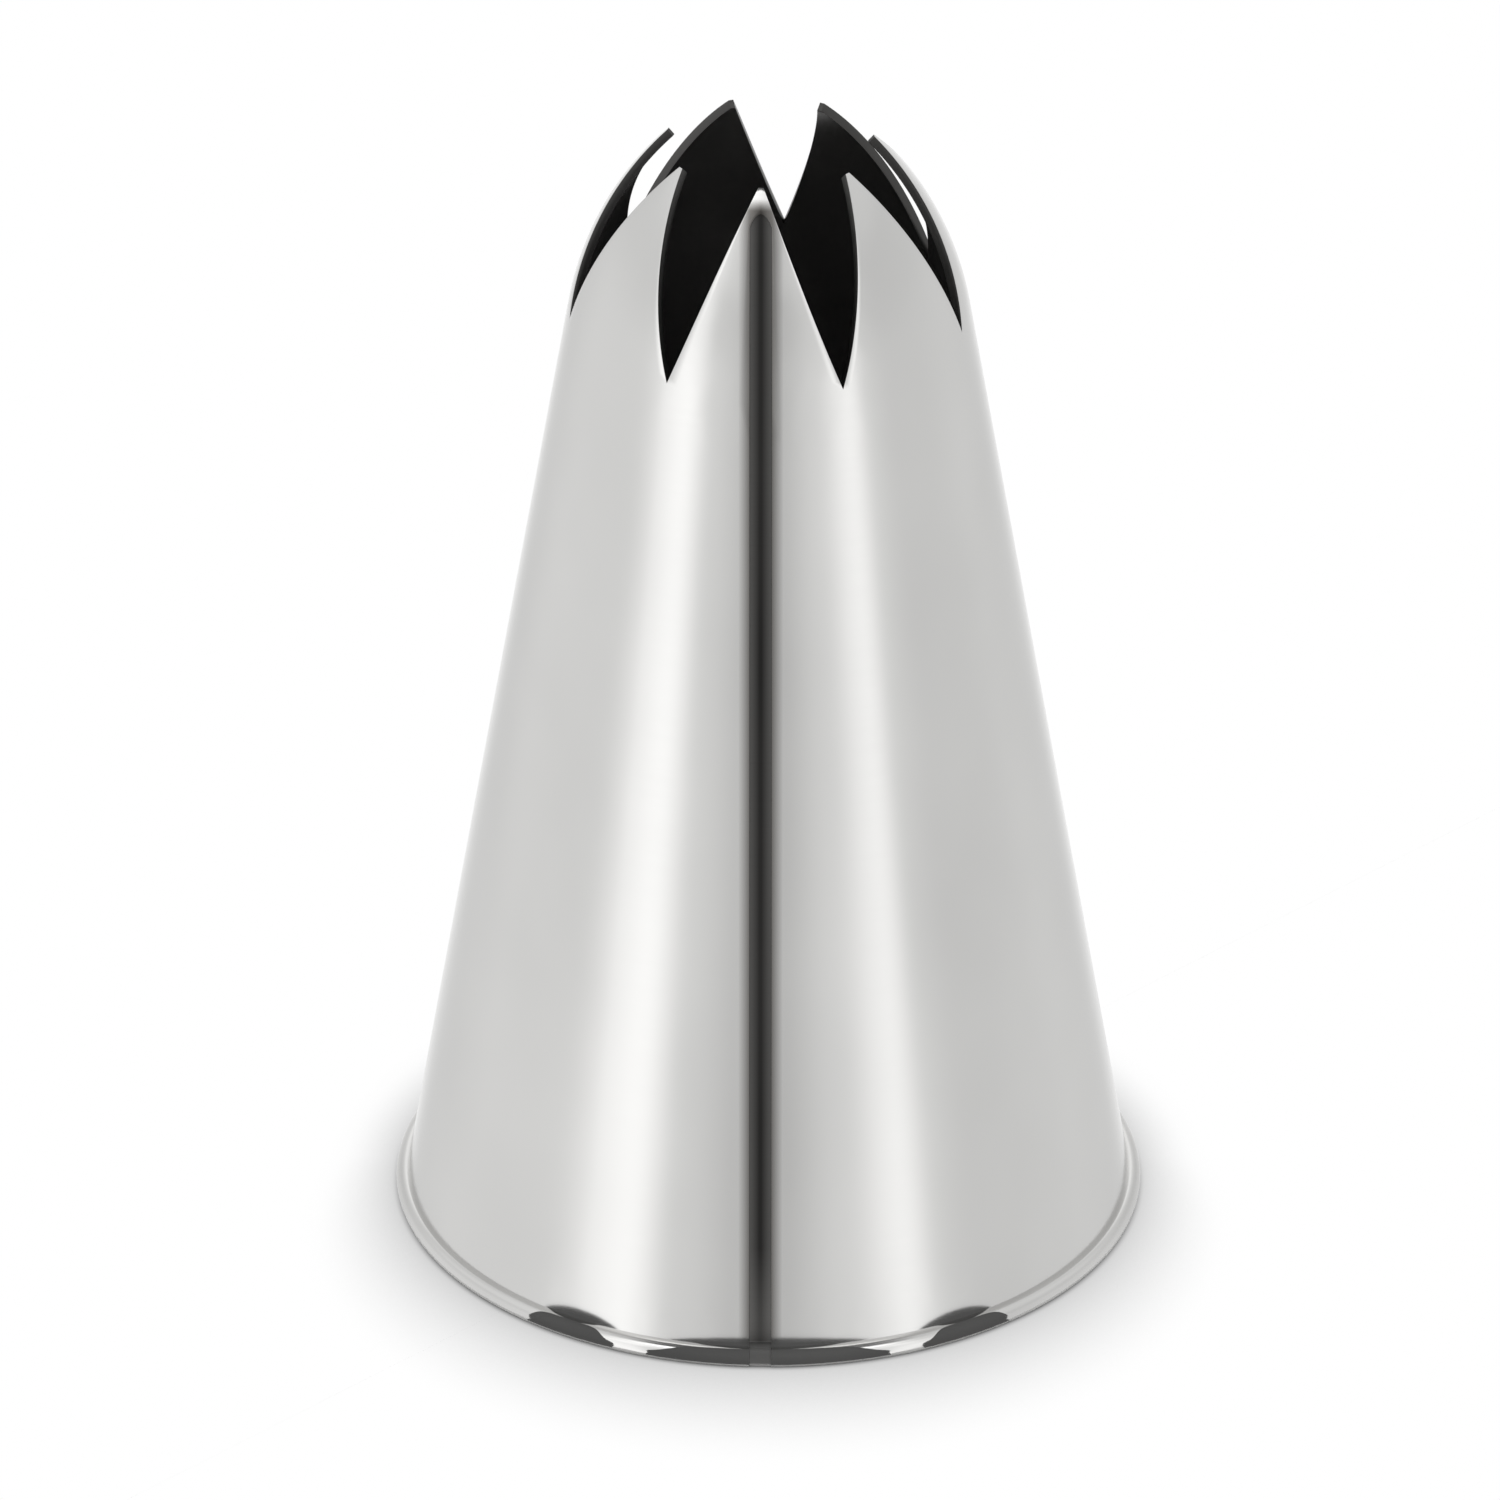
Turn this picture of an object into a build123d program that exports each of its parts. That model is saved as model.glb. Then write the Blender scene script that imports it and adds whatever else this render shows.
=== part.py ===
from build123d import *

import os
from math import acos, asin, cos, radians, sin, tan

# A piping nozzle with a closed star outlet, 48 mm tall. One sheet of stainless steel is rolled into a
# cone and closed by a butt weld down its front. Its wide end is curled outwards into a bead, and its
# narrow end is notched into seven pointed teeth, which are bent in over the outlet.
# Millimetres and degrees. Z is the axis, the bench is z = 0 and the weld faces -Y.

# The sheet, and the cone that it is rolled into.
sheet = 0.35  # thickness of the steel
height = 48.0  # bench to the points of the teeth
base_radius = 15.23  # outer face of the cone, carried down to the bench
taper = 9.9  # wall to axis

# The teeth.
tooth_count = 7
notch_depth = 7.3  # points of the teeth down to the bottoms of the notches, where the bend starts
point_lean = 45.9  # a tooth to the axis, at its point
point_width = 0.2  # flat left on a tooth's point
star_turn = -4.4  # the weld's tooth, about Z, from the front
notch_steps = 6  # spans in the curve of a notch's edge

# The curled bead round the base.
curl_radius = 0.4  # outside of the curl, which is pressed shut, so that no hollow is left in it
curl_chords = 16  # chords in the curl's section, which stay within 0.005 mm of the round
rest_cut = 0.06  # ground off the bead, so that it stands flat

# The weld.
weld_width = 0.9
weld_recess = 0.04  # the weld lies this far below the sheet, outside and inside
weld_land = 0.1  # least steel between the weld's round end and the edges of its tooth

overrun = 2.0  # how far every cutter runs past what it cuts

tilt = radians(taper)
pitch = radians(360 / tooth_count)
notch_height = height - notch_depth

# The bend is one arc, tangent to the cone at the notches and ending at the points of the teeth.
notch_radius = base_radius - notch_height * tan(tilt)
bend_turn = radians(point_lean) - tilt
bend_radius = notch_depth / (sin(tilt + bend_turn) - sin(tilt))
bend_centre = (notch_radius - bend_radius * cos(tilt), notch_height - bend_radius * sin(tilt))
point_radius = bend_centre[0] + bend_radius * cos(tilt + bend_turn)

# The curl starts tangent to the inner face of the cone, and ends on its outer face.
curl_height = curl_radius - rest_cut
curl_offset = curl_radius - sheet
curl_centre = (base_radius - curl_height * tan(tilt) + curl_offset / cos(tilt), curl_height)
curl_start = radians(180) + tilt


def on_circle(centre, radius, angle):
    """A point of the wall's section: its distance from the axis, and its height."""
    return centre[0] + radius * cos(angle), centre[1] + radius * sin(angle)


def section_arc(centre, radius, start, turn):
    return ThreePointArc(*[on_circle(centre, radius, start + turn * share) for share in (0, 0.5, 1)])


def section_chords(centre, radius, start, turn, chords):
    """An arc of the wall's section, drawn as chords."""
    return Polyline([on_circle(centre, radius, start + turn * step / chords) for step in range(chords + 1)])


def rolled_sheet(skin):
    """The sheet before it is notched and welded, with a skin taken off both of its faces."""
    outer_bend = section_arc(bend_centre, bend_radius - skin, tilt, bend_turn)
    inner_bend = section_arc(bend_centre, bend_radius - sheet + skin, tilt, bend_turn)
    curl_turn = radians(360) - acos((curl_offset + skin) / (curl_radius - skin))
    curl = section_chords(curl_centre, curl_radius - skin, curl_start, curl_turn, curl_chords)
    outline = [
        outer_bend,
        Line(outer_bend @ 0, curl @ 1),
        curl,
        Line(curl @ 0, inner_bend @ 0),
        inner_bend,
        Line(inner_bend @ 1, outer_bend @ 1),
    ]
    # The turn starts at the back, away from the weld.
    blank = Rot(0, 0, 90) * revolve(Plane.XZ * make_face(outline), Axis.Z)
    bench = Pos(0, 0, -overrun / 2) * Cylinder(base_radius + overrun, overrun)
    return blank - bench


# A tooth's sides are straight before it is bent, so its width falls evenly along the bend.
root_half = notch_radius * sin(pitch / 2)
point_half = point_width / 2


def bend_height(share):
    """Height of the sheet's outer face, at a share of the way along the bend."""
    return on_circle(bend_centre, bend_radius, tilt + bend_turn * share)[1]


def notch_edge(share):
    """Angle about the axis from a notch's middle to its edge, at a share of the way along the bend."""
    radius = on_circle(bend_centre, bend_radius, tilt + bend_turn * share)[0]
    tooth_half = root_half + (point_half - root_half) * share
    return pitch / 2 - asin(tooth_half / radius)


def notch_outline(distance):
    """A notch as seen from the axis, drawn on the upright plane at that distance from it."""
    edge_shares = [step / notch_steps for step in range(notch_steps + 1)]
    right = [(distance * tan(notch_edge(share)), bend_height(share)) for share in edge_shares]
    left = [(-x, z) for x, z in right]
    top = height + overrun
    over = Polyline(right[-1], (right[-1][0], top), (left[-1][0], top), left[-1])
    return Plane.XZ.offset(distance) * make_face([Spline(right), over, Spline(left)])


def notch():
    """A cutter in front of the axis, whose sides spread straight out from it."""
    return loft([notch_outline(point_radius / 2), notch_outline(notch_radius + overrun)], ruled=True)


def weld_slot():
    """The gap between the sheet's two edges. Its round end keeps its land inside the tooth."""
    half = weld_width / 2
    middle = point_radius * sin(radians(star_turn))
    end_share = (root_half - half - weld_land) / (root_half - point_half)
    end = bend_height(end_share) - half
    run = Pos(middle, (end - overrun) / 2) * Rectangle(weld_width, end + overrun)
    outline = run + Pos(middle, end) * Circle(half)
    return extrude(Plane.XZ * outline, base_radius + overrun)


def cone_shell():
    """The steel sheet: cone, bead and teeth in one piece, open where the weld closes it."""
    first = star_turn + 180 / tooth_count
    notches = [Rot(0, 0, first + 360 * place / tooth_count) * notch() for place in range(tooth_count)]
    return rolled_sheet(0) - notches - weld_slot()


def seam_weld():
    """The weld metal between the sheet's edges, from the bead up into its tooth."""
    return rolled_sheet(weld_recess) & weld_slot()


os.makedirs("parts", exist_ok=True)
for name, solid in {"cone_shell": cone_shell(), "seam_weld": seam_weld()}.items():
    export_step(solid, f"parts/{name}.step")
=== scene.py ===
from math import acos, asin, atan2, cos, pi, radians, sin, tan

import bmesh
import bpy
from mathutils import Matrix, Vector


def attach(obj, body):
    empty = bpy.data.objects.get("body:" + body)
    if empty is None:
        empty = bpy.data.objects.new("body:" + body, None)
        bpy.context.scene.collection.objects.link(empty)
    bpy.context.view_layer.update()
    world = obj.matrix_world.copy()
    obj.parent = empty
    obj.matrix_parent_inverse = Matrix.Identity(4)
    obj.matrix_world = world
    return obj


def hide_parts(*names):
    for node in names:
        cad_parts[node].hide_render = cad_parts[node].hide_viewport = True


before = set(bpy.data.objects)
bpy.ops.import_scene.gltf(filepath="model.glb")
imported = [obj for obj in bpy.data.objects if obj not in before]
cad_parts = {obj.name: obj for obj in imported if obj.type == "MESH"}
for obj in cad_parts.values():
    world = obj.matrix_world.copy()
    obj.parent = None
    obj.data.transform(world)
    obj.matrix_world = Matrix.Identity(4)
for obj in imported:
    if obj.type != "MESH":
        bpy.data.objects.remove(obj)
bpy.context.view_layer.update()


# THE SHEET
# One sheet of polished stainless steel, rolled into a cone. Its wide end is curled outwards into a bead
# and pressed shut. Its narrow end is notched into seven pointed teeth, which are bent in over the outlet.

sheet = 0.00035
height = 0.048
base_radius = 0.01523
taper = radians(9.9)
tooth_count = 7
notch_depth = 0.0073
point_lean = radians(45.9)
point_width = 0.0002
star_turn = radians(-4.4)
curl_radius = 0.0004
rest_cut = 0.00006

# The bend of the teeth is one arc, tangent to the cone at the bottoms of the notches.
tooth_pitch = 2 * pi / tooth_count
notch_height = height - notch_depth
notch_radius = base_radius - notch_height * tan(taper)
bend_turn = point_lean - taper
bend_radius = notch_depth / (sin(point_lean) - sin(taper))
bend_centre = (notch_radius - bend_radius * cos(taper), notch_height - bend_radius * sin(taper))
root_half = notch_radius * sin(tooth_pitch / 2)
point_half = point_width / 2

# The weld's strip down the front, and its round end in the front tooth.
weld_half = 0.00045
weld_land = 0.0001
point_radius = bend_centre[0] + bend_radius * cos(point_lean)
weld_middle = point_radius * sin(star_turn)


def bend_point(share, depth):
    """Distance from the axis and height, at a share of the way along the bend and a depth in the sheet."""
    angle = taper + bend_turn * share
    reach = bend_radius - depth
    return bend_centre[0] + reach * cos(angle), bend_centre[1] + reach * sin(angle)


def bend_share(level):
    """Share of the way along the bend at which the outer face reaches a height."""
    return (asin((level - bend_centre[1]) / bend_radius) - taper) / bend_turn


def tooth_half(share):
    """Half the width of a tooth. Its sides are straight before it is bent."""
    return root_half + (point_half - root_half) * share


top_share = (root_half - weld_half - weld_land) / (root_half - point_half)
weld_end = bend_point(top_share, 0)[1] - weld_half
corner_share = bend_share(weld_end)

# The section of the sheet, from the points of the teeth down the outer face, round the bead, and up the
# inner face to the points again. Each ring has its distance from the axis and its height.
root_steps = 20
tip_steps = 8
shares = [corner_share * step / root_steps for step in range(root_steps + 1)]
shares += [corner_share + (1 - corner_share) * step / tip_steps for step in range(1, tip_steps + 1)]
outer_bend = [bend_point(share, 0) for share in reversed(shares)]
inner_bend = [bend_point(share, sheet) for share in shares]

# The curl stands no further out than the CAD's, whose round is drawn with chords.
curl_height = curl_radius - rest_cut
curl_middle = base_radius - curl_height * tan(taper) + (curl_radius - sheet) / cos(taper)
curl_start = radians(180) + taper
curl_end = curl_start + radians(360) - acos((curl_radius - sheet) / curl_radius)
curl_steps = 22
curl_reach = 0.0156165
curl = []
for step in range(curl_steps + 1):
    angle = curl_end + (curl_start - curl_end) * step / curl_steps
    radius, level = curl_middle + curl_radius * cos(angle), curl_height + curl_radius * sin(angle)
    curl.append((min(curl_reach, radius), max(0, level)))
wall_shares = (0.01, 0.05, 0.125, 0.25, 0.375, 0.5, 0.625, 0.75, 0.875, 0.95, 0.99)


def wall(start, end):
    """Rings down or up a straight wall, closer together near its ends, where the curves start."""
    return [tuple(a + (b - a) * share for a, b in zip(start, end)) for share in wall_shares]


def drawn_skin(name, section, sides):
    """A skin drawn out from a circle through the rings of a section. It is left in edit mode."""
    bpy.ops.object.select_all(action="DESELECT")
    first_radius, first_level = section[0]
    bpy.ops.mesh.primitive_circle_add(vertices=sides, radius=first_radius, location=(0, 0, first_level))
    skin = bpy.context.object
    skin.name = name
    bpy.ops.object.transform_apply(location=True, rotation=True, scale=True)
    bpy.ops.object.mode_set(mode="EDIT")
    bpy.ops.mesh.select_all(action="SELECT")
    for (radius, level), (next_radius, next_level) in zip(section, section[1:]):
        bpy.ops.mesh.extrude_edges_move(TRANSFORM_OT_translate={"value": (0, 0, next_level - level)})
        grow = next_radius / radius
        bpy.ops.transform.resize(value=(grow, grow, 1), center_override=(0, 0, next_level))
    return skin


def bearing(point):
    """Angle of a point about the axis, 0 in front and positive to the right."""
    return atan2(point.x, -point.y)


rings = outer_bend + wall(outer_bend[-1], curl[0]) + curl + wall(curl[-1], inner_bend[0]) + inner_bend
bend_count = len(shares)
bend_rings = set(range(bend_count)) | set(range(len(rings) - bend_count, len(rings)))
tooth_columns = 24
columns = tooth_count * tooth_columns
shell = drawn_skin("rolled_sheet", rings, columns)

# The notches are cut: the sheet is split between the teeth, down to the bottoms of the notches.
skin = bmesh.from_edit_mesh(shell.data)
skin.verts.ensure_lookup_table()
ring_of = skin.verts.layers.int.new("ring")
column_of = skin.verts.layers.int.new("column")
for vertex in skin.verts:
    vertex[ring_of] = vertex.index // columns
    turn = bearing(vertex.co) % (2 * pi)
    vertex[column_of] = round(turn / (2 * pi) * columns) % columns
for edge in skin.edges:
    a, b = edge.verts
    upright = a[column_of] == b[column_of] and a[column_of] % tooth_columns == tooth_columns // 2
    edge.select_set(upright and a[ring_of] in bend_rings and b[ring_of] in bend_rings)
bmesh.update_edit_mesh(shell.data)
bpy.ops.mesh.select_mode(type="EDGE")
bpy.ops.mesh.edge_split(type="EDGE")

# The teeth are drawn to their points, and the columns beside the weld are slid onto its edges. The weld's
# strip is this many columns wide to each side, and its top is a half circle.
strip = 4
strip_tip_share = 0.8


def middle_share(share, place):
    """Where along the bend a point of the front tooth lies, with the weld's round end pressed in."""
    if share < corner_share:
        return share
    rise = sin(pi / 2 * (1 - abs(place) / strip)) if abs(place) < strip else 0
    arc_share = bend_share(weld_end + weld_half * rise)
    return arc_share + (1 - arc_share) * (share - corner_share) / (1 - corner_share)


def strip_reach(share, place):
    """Distance of a point inside the strip from the strip's middle."""
    if share < corner_share:
        return weld_half * place / strip
    narrowing = (tooth_half(share) - point_half) / (tooth_half(corner_share) - point_half)
    round_place = sin(pi / 2 * place / strip)
    tip_place = place / strip * point_half * strip_tip_share
    return weld_half * round_place * narrowing + tip_place * (1 - narrowing)


def grid_of(piece):
    """The mesh of a piece in edit mode, and the layers that hold the ring and column of each vertex."""
    mesh = bmesh.from_edit_mesh(piece.data)
    return mesh, mesh.verts.layers.int["ring"], mesh.verts.layers.int["column"]


skin, ring_of, column_of = grid_of(shell)
places = []
for vertex in skin.verts:
    turn = vertex[column_of]
    if len(vertex.link_faces) < 4 and vertex[ring_of] in bend_rings:
        # On the edge of a notch, the faces beside it say which tooth the vertex belongs to.
        beside = [face.calc_center_median() for face in vertex.link_faces]
        turn = bearing(sum(beside, Vector()) / len(beside)) % (2 * pi) / (2 * pi) * columns
    tooth = round(turn / tooth_columns) % tooth_count
    place = (vertex[column_of] - tooth * tooth_columns + columns // 2) % columns - columns // 2
    places.append((tooth, place))
for vertex, (tooth, place) in zip(skin.verts, places):
    ring = vertex[ring_of]
    if ring < bend_count:
        share, depth = shares[bend_count - 1 - ring], 0
    elif ring >= len(rings) - bend_count:
        share, depth = shares[ring - len(rings) + bend_count], sheet
    else:
        share, depth = 0, 0
    radius, level = rings[ring]
    if tooth == 0 and ring in bend_rings:
        share = middle_share(share, place)
        radius, level = bend_point(share, depth)
    half_angle = tooth_pitch / 2
    if ring in bend_rings:
        half_angle = asin(tooth_half(share) / bend_point(share, 0)[0])
    turn = star_turn + tooth * tooth_pitch + half_angle * place / (tooth_columns / 2)
    if tooth == 0 and abs(place) <= strip:
        turn = asin((weld_middle + strip_reach(share, place)) / radius)
    elif tooth == 0:
        side = 1 if place > 0 else -1
        near = asin((weld_middle + strip_reach(share, strip * side)) / radius)
        far = star_turn + half_angle * side
        turn = near + (far - near) * (abs(place) - strip) / (tooth_columns / 2 - strip)
    vertex.co = (radius * sin(turn), -radius * cos(turn), level)
bmesh.update_edit_mesh(shell.data)

# The weld's strip is taken out of the sheet, as a piece of its own.
outer_slot, inner_slot, sheared_slot = range(3)
corner_ring = shares[::-1].index(corner_share)
in_strip = set(range(strip + 1)) | set(range(columns - strip, columns))
strip_rings = range(corner_ring, len(rings) - corner_ring)
inner_start = bend_count + len(wall_shares) + curl_steps
bpy.ops.mesh.select_mode(type="FACE")
skin, ring_of, column_of = grid_of(shell)
for face in skin.faces:
    face.select_set(all(v[column_of] in in_strip and v[ring_of] in strip_rings for v in face.verts))
    inside = min(v[ring_of] for v in face.verts) >= inner_start
    face.material_index = inner_slot if inside else outer_slot
bmesh.update_edit_mesh(shell.data)
bpy.ops.mesh.separate(type="SELECTED")
bpy.ops.object.mode_set(mode="OBJECT")
weld = next(piece for piece in bpy.context.selected_objects if piece != shell)
weld.name = "seam_weld_strip"


def work_on(piece):
    """Selects a piece alone and enters edit mode on it."""
    bpy.ops.object.select_all(action="DESELECT")
    bpy.context.view_layer.objects.active = piece
    piece.select_set(True)
    bpy.ops.object.mode_set(mode="EDIT")


def open_edges(piece, keep):
    """Selects, in edit mode, the open edges of a piece whose ends, each a ring and a column, pass a test."""
    bpy.ops.object.mode_set(mode="OBJECT")
    work_on(piece)
    bpy.ops.mesh.select_mode(type="EDGE")
    bpy.ops.mesh.select_all(action="DESELECT")
    mesh, ring_of, column_of = grid_of(piece)
    for edge in mesh.edges:
        if edge.is_boundary:
            edge.select_set(keep(*((vertex[ring_of], vertex[column_of]) for vertex in edge.verts)))
    bmesh.update_edit_mesh(piece.data)


def close_slot(piece):
    """Walls the weld's slot in the sheet, or the weld's own edges: two straight sides and two round ends."""
    for side in (-strip % columns, strip):
        open_edges(piece, lambda a, b: a[1] == b[1] == side and a[0] in strip_rings and b[0] in strip_rings)
        bpy.ops.mesh.edge_face_add()
    ends = (corner_ring, len(rings) - 1 - corner_ring)
    open_edges(piece, lambda a, b: a[0] == b[0] and a[0] in ends and {a[1], b[1]} <= in_strip)
    bpy.ops.mesh.bridge_edge_loops()


# The sheared edges of the sheet: the weld's slot, and the sides of the notches. They are a little rounded.
shear_round = 0.00004
smooth_below = radians(40)
skin_faces = len(shell.data.polygons)
close_slot(shell)
open_edges(shell, lambda a, b: True)
bpy.ops.mesh.bridge_edge_loops()
bpy.ops.mesh.select_mode(type="FACE")
bpy.ops.mesh.select_all(action="DESELECT")
skin = bmesh.from_edit_mesh(shell.data)
for face in skin.faces:
    sheared = face.index >= skin_faces
    face.select_set(sheared)
    face.material_index = sheared_slot if sheared else face.material_index
bmesh.update_edit_mesh(shell.data)
bpy.ops.mesh.region_to_loop()
bpy.ops.mesh.bevel(
    offset=shear_round, segments=2, profile=0.5, affect="EDGES", clamp_overlap=True, material=sheared_slot
)
bpy.ops.mesh.select_all(action="SELECT")
bpy.ops.mesh.normals_make_consistent(inside=False)
bpy.ops.object.mode_set(mode="OBJECT")
bpy.ops.object.shade_smooth_by_angle(angle=smooth_below)
bpy.ops.object.modifier_add(type="WEIGHTED_NORMAL")
shell.modifiers[-1].keep_sharp = True
bpy.ops.object.modifier_apply(modifier=shell.modifiers[-1].name)


# Nodes that the steels and the studio share.
def add_node(tree, kind, links=(), **settings):
    """Adds a node. Each link feeds an input from a socket or a value, and settings are its properties."""
    node = tree.nodes.new("ShaderNode" + kind)
    for key, value in settings.items():
        setattr(node, key, value)
    for place, value in dict(links).items():
        if isinstance(value, bpy.types.NodeSocket):
            tree.links.new(value, node.inputs[place])
        else:
            node.inputs[place].default_value = value
    return node


def maths(tree, operation, *values):
    """One value worked out from one or two others."""
    return add_node(tree, "Math", dict(enumerate(values)), operation=operation).outputs[0]


def fade(tree, value, start, end, low=0.0, high=1.0, kind="LINEAR"):
    """A value that runs from low to high as another runs from start to end."""
    links = {"Value": value, "From Min": start, "From Max": end, "To Min": low, "To Max": high}
    return add_node(tree, "MapRange", links, interpolation_type=kind).outputs["Result"]


def object_place(tree):
    """The place of a point on the object, in metres."""
    return add_node(tree, "TexCoord").outputs["Object"]


def split(tree, vector):
    """The X, Y and Z of a vector."""
    return add_node(tree, "SeparateXYZ", {0: vector}).outputs


def add_outputs(group, values):
    """Gives a node group its outputs, by name."""
    for label in values:
        group.interface.new_socket(label, in_out="OUTPUT", socket_type="NodeSocketFloat")
    ends = group.nodes.new("NodeGroupOutput")
    for label, value in values.items():
        group.links.new(value, ends.inputs[label])


def add_group(material, group):
    """Places a node group in a material, and gives its outputs."""
    node = material.node_tree.nodes.new("ShaderNodeGroup")
    node.node_tree = group
    return node.outputs


def stretched_noise(tree, stretch, detail, rough):
    """Noise on the object, finer along the axes with the larger numbers."""
    links = {"Vector": object_place(tree), "Scale": stretch}
    place = add_node(tree, "Mapping", links).outputs["Vector"]
    links = {"Vector": place, "Scale": 1.0, "Detail": detail, "Roughness": rough}
    return add_node(tree, "TexNoise", links).outputs["Fac"]


# Turned polishing: faint lines round the cone, as the buffing wheel leaves them, and a soft cloud of wear.
# The press and the curling roll have left faint waves at the roots of the teeth and by the bead.
line_stretch = (160, 160, 16000)
cloud_stretch = (140, 140, 90)
wave_stretch = (620, 620, 420)
pressed_levels = (0.036, 0.0415)
curled_levels = (0.0035, 0.0015)
polish_lines = bpy.data.node_groups.new("polish_lines", "ShaderNodeTree")
level = split(polish_lines, object_place(polish_lines))["Z"]
pressed = fade(polish_lines, level, *pressed_levels)
curled = fade(polish_lines, level, *curled_levels)
swell = stretched_noise(polish_lines, wave_stretch, detail=1.0, rough=0.5)
add_outputs(polish_lines, {
    "Lines": stretched_noise(polish_lines, line_stretch, detail=4.0, rough=0.65),
    "Cloud": stretched_noise(polish_lines, cloud_stretch, detail=2.0, rough=0.5),
    "Waves": maths(polish_lines, "MULTIPLY", swell, maths(polish_lines, "ADD", pressed, curled)),
})
noise_span = (0.3, 0.7)  # where nearly all of a noise's values lie
wave_depth = 0.00002
line_strength = 0.35
mix_first, mix_second, mix_result = 6, 7, 2  # the colour sockets of a Mix node


def steel(name, dark, light, smooth, rough, line_depth):
    """A steel whose colour and roughness vary with the buffing. Its lines and waves are bumps."""
    material = bpy.data.materials.new(name)
    material.use_nodes = True
    tree = material.node_tree
    shader = tree.nodes["Principled BSDF"]
    shader.inputs["Metallic"].default_value = 1.0
    lines, cloud, waves = add_group(material, polish_lines)
    links = {0: fade(tree, cloud, *noise_span), mix_first: (*dark, 1), mix_second: (*light, 1)}
    colour = add_node(tree, "Mix", links, data_type="RGBA")
    tree.links.new(colour.outputs[mix_result], shader.inputs["Base Color"])
    buffing = maths(tree, "MULTIPLY", maths(tree, "ADD", lines, cloud), 0.5)
    tree.links.new(fade(tree, buffing, *noise_span, smooth, rough), shader.inputs["Roughness"])
    waved = add_node(tree, "Bump", {"Strength": 1.0, "Distance": wave_depth, "Height": waves})
    links = {"Strength": line_strength, "Distance": line_depth, "Height": lines, "Normal": waved.outputs[0]}
    tree.links.new(add_node(tree, "Bump", links).outputs["Normal"], shader.inputs["Normal"])
    return material


def over_base(material, factor, mode, colour):
    """Lays a colour over a steel's own colour, adds it or multiplies the two, by a mask."""
    tree = material.node_tree
    base = tree.nodes["Principled BSDF"].inputs["Base Color"]
    links = {0: factor, mix_first: base.links[0].from_socket, mix_second: (*colour, 1)}
    layer = add_node(tree, "Mix", links, data_type="RGBA", blend_type=mode)
    tree.links.new(layer.outputs[mix_result], base)


def off_weld(tree, axes):
    """Distance to either side of the weld's middle."""
    return maths(tree, "ABSOLUTE", maths(tree, "SUBTRACT", axes["X"], weld_middle))


# The heat of the weld has darkened the steel beside it. The bead and the tooth's point are bright again.
heat_reach = 0.00045
heat_colour = (0.3, 0.29, 0.28)
buffed_levels = (0.0007, 0.0012)
bright_point_levels = (0.04765, 0.0473)
weld_heat = bpy.data.node_groups.new("weld_heat", "ShaderNodeTree")
axes = split(weld_heat, object_place(weld_heat))
zone = maths(weld_heat, "LESS_THAN", axes["Y"], 0.0)
for levels in (buffed_levels, bright_point_levels):
    zone = maths(weld_heat, "MULTIPLY", zone, fade(weld_heat, axes["Z"], *levels))
off = off_weld(weld_heat, axes)
beside_weld = fade(weld_heat, off, weld_half, weld_half + heat_reach, 1.0, 0.0)
over_weld = fade(weld_heat, off, 0.0, weld_half, 1.0, 0.0)
add_outputs(weld_heat, {
    "Shade": maths(weld_heat, "MULTIPLY", beside_weld, zone),
    "Core": maths(weld_heat, "MULTIPLY", over_weld, zone),
})

buffed_dark = (0.62, 0.617, 0.608)
buffed_light = (0.66, 0.657, 0.647)
outer_steel = steel(
    "polished_steel_outside", buffed_dark, buffed_light, smooth=0.13, rough=0.22, line_depth=0.0000004
)
for mask in add_group(outer_steel, weld_heat):
    over_base(outer_steel, mask, "MULTIPLY", heat_colour)
# The inside is dull steel, and its colour is darkened further as painted shade for the dim inside of the
# cone.
dull_and_shaded_dark = (0.26, 0.255, 0.25)
dull_and_shaded_light = (0.36, 0.355, 0.35)
inner_steel = steel(
    "dull_steel_inside_painted_shade", dull_and_shaded_dark, dull_and_shaded_light, smooth=0.32, rough=0.46, line_depth=0.000001
)
# The sheared edges are rougher, and their nearly black colour is painted shade.
sheared_and_shaded_dark = (0.06, 0.059, 0.057)
sheared_and_shaded_light = (0.09, 0.088, 0.086)
sheared_steel = steel(
    "sheared_edge_painted_shade", sheared_and_shaded_dark, sheared_and_shaded_light, smooth=0.3, rough=0.42, line_depth=0.0000006
)
for finish in (outer_steel, inner_steel, sheared_steel):
    shell.data.materials.append(finish)
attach(shell, "root")
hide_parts("cone_shell")


# THE WELD
# The strip of weld metal that closes the sheet down its front, from the bead up into the front tooth. It
# lies a hair below the sheet on both sides, and is left dark and satin, with coarser lines than the sheet.

weld_recess = 0.00004
ground_tolerance = 0.0000001
work_on(weld)
bpy.ops.mesh.select_all(action="SELECT")
strip_mesh = bmesh.from_edit_mesh(weld.data)
ground = [vertex.index for vertex in strip_mesh.verts if vertex.co.z < ground_tolerance]
front_face = min(strip_mesh.faces, key=lambda face: face.calc_center_median().y)
inwards = 1 if front_face.normal.y > 0 else -1
bpy.ops.transform.shrink_fatten(value=inwards * weld_recess)
strip_mesh = bmesh.from_edit_mesh(weld.data)
strip_mesh.verts.ensure_lookup_table()
for index in ground:
    strip_mesh.verts[index].co.z = 0
bmesh.update_edit_mesh(weld.data)
close_slot(weld)
bpy.ops.mesh.select_all(action="SELECT")
bpy.ops.mesh.normals_make_consistent(inside=False)
bpy.ops.mesh.select_all(action="DESELECT")
bpy.ops.object.mode_set(mode="OBJECT")
bpy.ops.object.shade_smooth_by_angle(angle=smooth_below)

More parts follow.
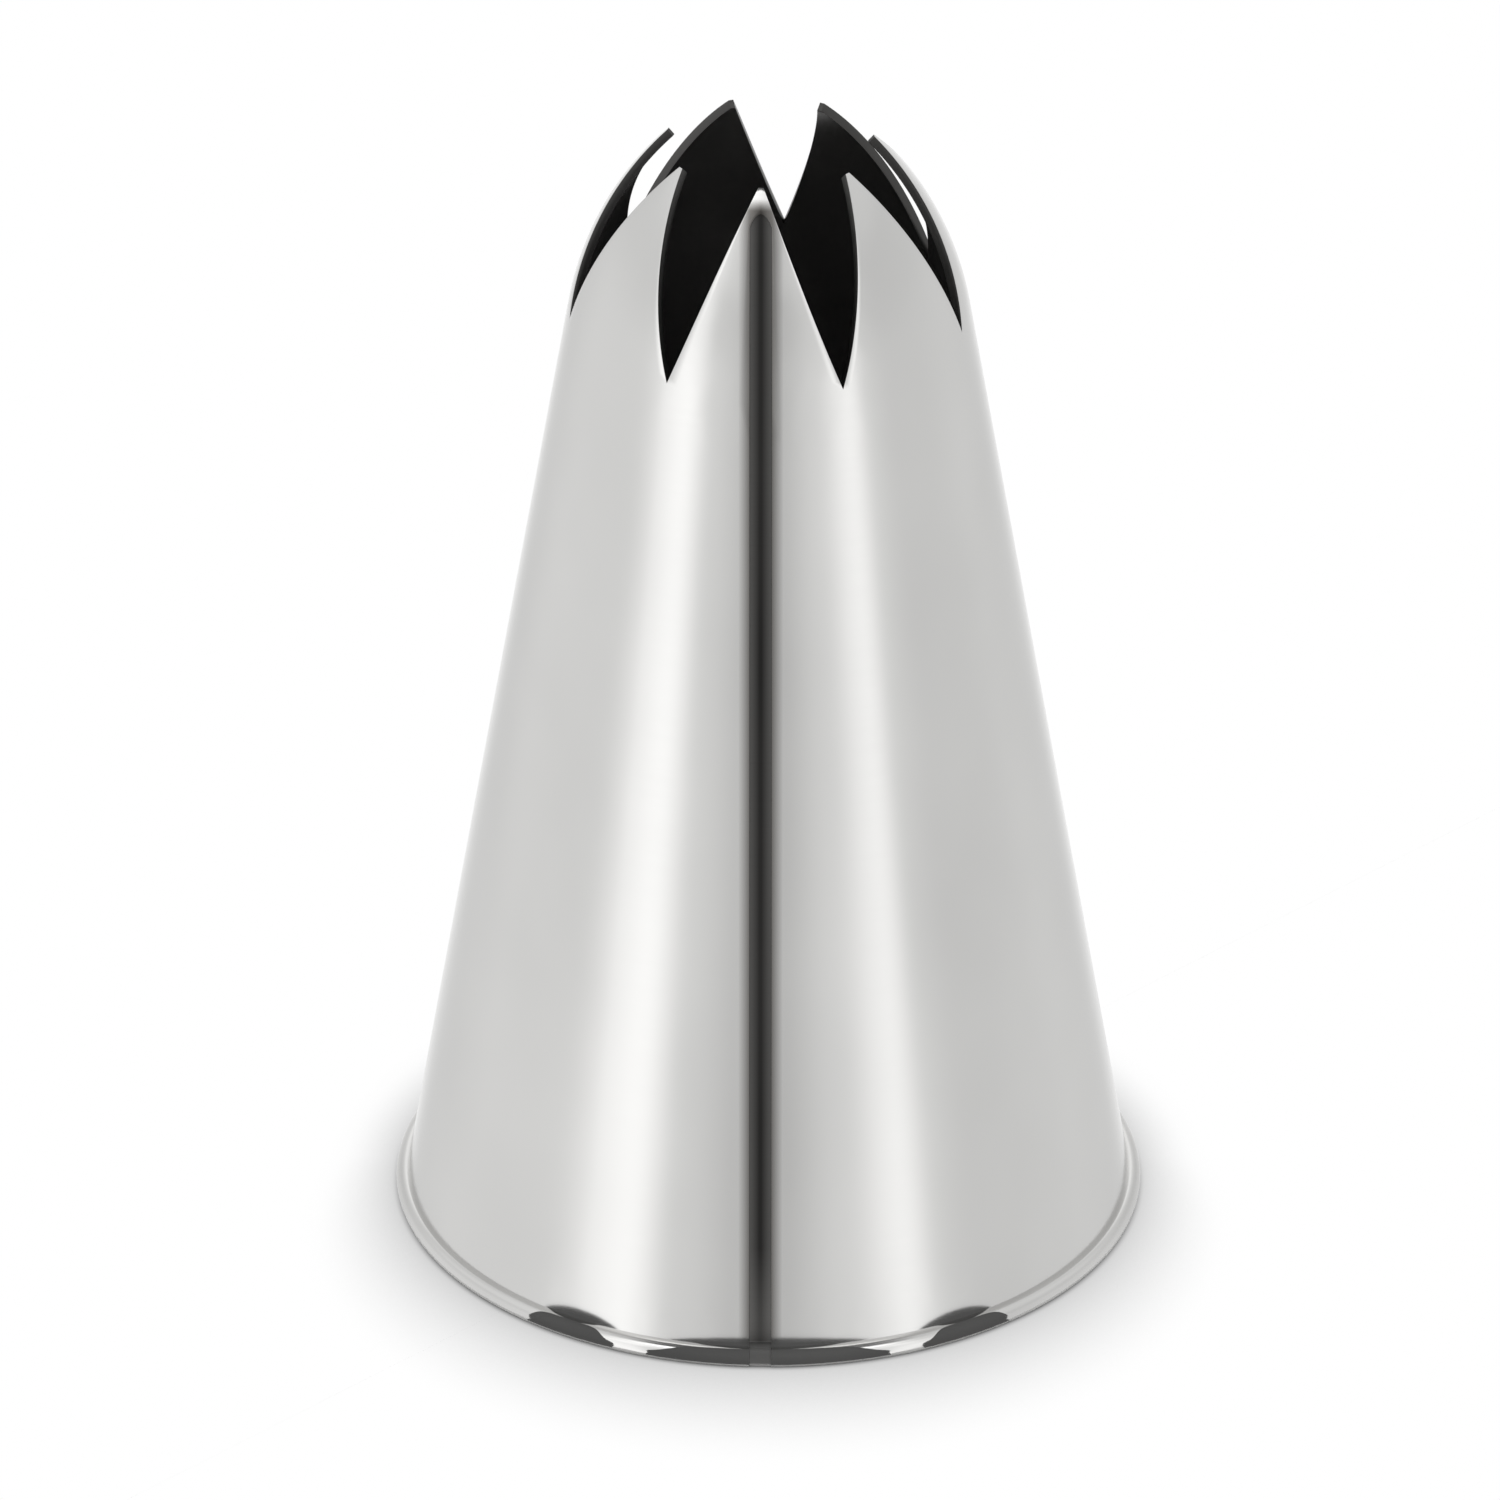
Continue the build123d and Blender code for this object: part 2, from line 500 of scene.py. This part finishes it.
# Its crown is the darkest. It is lighter along its edges and towards the bead, where it is buffed bright.
crown_half = 0.1 * weld_half
lighter_levels = (0.0012, 0.005)
bead_levels = (0.0007, 0.001)
weld_shades = bpy.data.node_groups.new("weld_shades", "ShaderNodeTree")
axes = split(weld_shades, object_place(weld_shades))
add_outputs(weld_shades, {
    "Edge": fade(weld_shades, off_weld(weld_shades, axes), crown_half, weld_half),
    "Low": fade(weld_shades, axes["Z"], *lighter_levels, 1.0, 0.0),
    "Bead": fade(weld_shades, axes["Z"], *bead_levels, 1.0, 0.0),
})
crown_dark = (0.022, 0.0215, 0.021)
crown_light = (0.034, 0.033, 0.032)
edge_colour = (0.11, 0.108, 0.105)
low_colour = (0.06, 0.059, 0.057)
weld_steel = steel("satin_weld", crown_dark, crown_light, smooth=0.42, rough=0.6, line_depth=0.000002)
shades = add_group(weld_steel, weld_shades)
over_base(weld_steel, shades["Edge"], "MIX", edge_colour)
over_base(weld_steel, shades["Low"], "ADD", low_colour)
over_base(weld_steel, shades["Bead"], "MIX", buffed_dark)
weld.data.materials.clear()
weld.data.materials.append(weld_steel)
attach(weld, "root")
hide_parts("seam_weld")


# THE STUDIO
# A plain pale floor under a soft white light from all round. The polished steel shows two tall soft boxes,
# one each side of the camera, and a greyer patch between them.

floor_size = 6
bpy.ops.object.select_all(action="DESELECT")
bpy.ops.mesh.primitive_plane_add(size=floor_size, location=(0, 0, 0))
floor = bpy.context.object
floor.name = "studio_floor"

# The camera sees the floor white, with a contact shadow that reaches further in front of the nozzle than
# behind it, and painted shade inside the bead. The steel mirrors the floor only close by, and the studio
# beyond.
# From below, the floor is clear.
floor_colour = (0.85, 0.85, 0.85, 1)
shadow_facing = (0.1, -1.0)
shadow_reach = (0.003, 0.008)
inside_bead = (0.0146, 0.0153)
painted_inside_shade = 0.25
mirrored_floor = 0.0158


def studio_paint(name):
    """A material with an empty node tree, for the floor and the gutter."""
    material = bpy.data.materials.new(name)
    material.use_nodes = True
    material.node_tree.nodes.clear()
    return material, material.node_tree


def mix_shaders(tree, factor, first, second):
    """Two shaders mixed: the first where the factor is 0, the second where it is 1."""
    links = {0: factor, 1: first.outputs[0], 2: second.outputs[0]}
    return add_node(tree, "MixShader", links)


floor_paint, tree = studio_paint("pale_floor")
rays = add_node(tree, "LightPath").outputs
matt = add_node(tree, "BsdfDiffuse", {"Color": floor_colour})
clear = add_node(tree, "BsdfTransparent")
spot = object_place(tree)
heading = add_node(tree, "VectorMath", {0: spot}, operation="NORMALIZE").outputs["Vector"]
shadow_length = fade(tree, split(tree, heading)["Y"], *shadow_facing, *shadow_reach)
contact = add_node(tree, "AmbientOcclusion", {"Distance": shadow_length}, samples=16)
off_axis = add_node(tree, "VectorMath", {0: spot}, operation="LENGTH").outputs["Value"]
# Painted shade: inside the bead the floor's white is dimmed to this level, whatever the light.
painted_shade_strength = fade(tree, off_axis, *inside_bead, painted_inside_shade, 1.0)
white = add_node(tree, "Emission", {"Color": contact.outputs["Color"], "Strength": painted_shade_strength})
seen = mix_shaders(tree, rays["Is Camera Ray"], matt, white)
beyond = maths(tree, "GREATER_THAN", off_axis, mirrored_floor)
top = mix_shaders(tree, maths(tree, "MULTIPLY", rays["Is Glossy Ray"], beyond), seen, clear)
underneath = add_node(tree, "NewGeometry").outputs["Backfacing"]
both_sides = mix_shaders(tree, underneath, top, clear)
tree.links.new(both_sides.outputs[0], add_node(tree, "OutputMaterial").inputs["Surface"])
floor.data.materials.append(floor_paint)

# A nearly black gutter lies round the front of the bead, a hair away from it. It is cut through where the
# soft boxes shine past, and its rim and lip draw back towards the cuts. It shows in reflections alone, and
# only from its inner side, so that the wall sees past it.
gutter_span = radians(40)
gutter_cut = (radians(18.9), radians(24.7))
gutter_toe = 0.01562
gutter_outside = 0.016
gutter_lip = 0.015035
gutter_foot = 0.00001
gutter_rim = 0.00095
gutter_low = 0.00035
gutter_section = (
    (gutter_toe, gutter_foot),
    (gutter_outside, gutter_foot),
    (gutter_outside, gutter_rim),
    (gutter_lip, gutter_rim),
)
gutter_columns = 720
gutter_fullness = 0.6
gutter_brightness = 0.11


def gutter_draw(turn):
    """How far the rim and lip of the gutter stand out at a bearing, from 0 at its cuts and ends to 1."""
    if turn < gutter_cut[0]:
        draw = cos(pi / 2 * turn / gutter_cut[0])
    else:
        draw = sin(pi * min(max((turn - gutter_cut[1]) / (gutter_span - gutter_cut[1]), 0), 1))
    return max(draw, 0) ** gutter_fullness


gutter = drawn_skin("studio_gutter", gutter_section, gutter_columns)
bpy.ops.mesh.select_mode(type="FACE")
paper = bmesh.from_edit_mesh(gutter.data)
paper.faces.ensure_lookup_table()
inside_out = paper.faces[0].normal.z > 0
for face in paper.faces:
    turn = abs(bearing(face.calc_center_median()))
    face.select_set(turn > gutter_span or gutter_cut[0] < turn < gutter_cut[1])
    if inside_out:
        face.normal_flip()
for vertex in paper.verts:
    if vertex.co.z > gutter_low:
        draw = gutter_draw(abs(bearing(vertex.co)))
        reach = Vector(vertex.co[:2]).length
        lip = gutter_outside + (reach - gutter_outside) * draw
        rim = gutter_low + (vertex.co.z - gutter_low) * draw
        vertex.co = (vertex.co.x * lip / reach, vertex.co.y * lip / reach, rim)
bmesh.update_edit_mesh(gutter.data)
bpy.ops.mesh.delete(type="FACE")
bpy.ops.object.mode_set(mode="OBJECT")
gutter_paint, tree = studio_paint("black_gutter")
inner_side = add_node(tree, "NewGeometry").outputs["Backfacing"]
clear = add_node(tree, "BsdfTransparent")
black = add_node(tree, "Emission", {"Color": (1, 1, 1, 1), "Strength": gutter_brightness})
sides = mix_shaders(tree, inner_side, clear, black)
tree.links.new(sides.outputs[0], add_node(tree, "OutputMaterial").inputs["Surface"])
gutter.data.materials.append(gutter_paint)
gutter.visible_camera = False
gutter.visible_diffuse = False
gutter.visible_transmission = False
gutter.visible_shadow = False

# What the steel mirrors: white soft boxes and grey cards round the nozzle, on top of plain light. Each has
# the bearing of its middle, how far it fades out to the left and to the right, all in degrees, and how much
# it adds or takes. The box behind has two halves, because bearings end at 180.
plain_light = 0.97
soft_boxes = {
    "left box": (-44, 30, 15, 0.58),
    "grey card behind the camera": (0, 30, 25, -0.3),
    "right box": (44, 20, 11, 0.46),
    "grey card on the right": (70, 20, 100, -0.12),
    "grey card behind on the left": (-150, 20, 40, -0.14),
    "grey card behind on the right": (150, 40, 20, -0.14),
    "left half of the box behind": (180, 15, 1, 0.25),
    "right half of the box behind": (-180, 1, 15, 0.25),
}
world = bpy.data.worlds.new("studio_light")
bpy.context.scene.world = world
world.use_nodes = True
tree = world.node_tree
tree.nodes.clear()


def ease(tree, value, start, end, low, high):
    """A fade that starts and ends softly."""
    return fade(tree, value, start, end, low, high, "SMOOTHSTEP")


axes = split(tree, add_node(tree, "TexCoord").outputs["Generated"])
front = maths(tree, "MULTIPLY", axes["Y"], -1.0)
angle = maths(tree, "ARCTAN2", axes["X"], front)
ring_light = plain_light
for middle, left_fade, right_fade, gain in soft_boxes.values():
    from_left = ease(tree, angle, radians(middle - left_fade), radians(middle), 0.0, gain)
    to_right = ease(tree, angle, radians(middle), radians(middle + right_fade), 1.0, 0.0)
    ring_light = maths(tree, "ADD", ring_light, maths(tree, "MULTIPLY", from_left, to_right))

# Higher up the light falls off a little and then rises again, a lamp hangs high in front, and straight
# overhead the studio is dark. Each has where it starts and ends, as the upward or forward part of a
# direction, and its strength at both.
level_fall = (-0.1, 0.3, 1.0, 0.92)
upper_rise = (0.4, 0.55, 1.0, 1.1)
lamp_height = (0.8, 0.9, 0.0, 1.1)
lamp_front = (0.15, 0.35, 0.0, 1.0)
dark_overhead = (0.935, 0.965, 1.0, 0.12)
lamp = maths(tree, "MULTIPLY", ease(tree, axes["Z"], *lamp_height), ease(tree, front, *lamp_front))
upper = maths(tree, "ADD", ease(tree, axes["Z"], *upper_rise), lamp)
upper = maths(tree, "MULTIPLY", ease(tree, axes["Z"], *level_fall), upper)
studio_level = maths(tree, "MULTIPLY", ring_light, upper)
studio_level = maths(tree, "MULTIPLY", studio_level, ease(tree, axes["Z"], *dark_overhead))
mirrored = add_node(tree, "Background", {"Color": (1, 1, 1, 1), "Strength": studio_level})
plain = add_node(tree, "Background", {"Color": (1, 1, 1, 1), "Strength": 1.0})
glossy = add_node(tree, "LightPath").outputs["Is Glossy Ray"]
studio = mix_shaders(tree, glossy, plain, mirrored)
tree.links.new(studio.outputs[0], add_node(tree, "OutputWorld").inputs["Surface"])

# The camera stands in front, a little above, a good way off.
camera_place = (0, -0.4278, 0.2505)
camera_aim = (-0.000767, -0.001919, 0.02136)
camera_data = bpy.data.cameras.new("camera")
camera_data.lens = 283.0
camera_data.sensor_width = 36.0
camera_data.clip_start = 0.01
camera = bpy.data.objects.new("camera", camera_data)
bpy.context.scene.collection.objects.link(camera)
bpy.context.scene.camera = camera
camera.location = camera_place
sight = Vector(camera_aim) - camera.location
camera.rotation_euler = sight.to_track_quat("-Z", "Y").to_euler()

bpy.context.scene.view_settings.view_transform = "Standard"
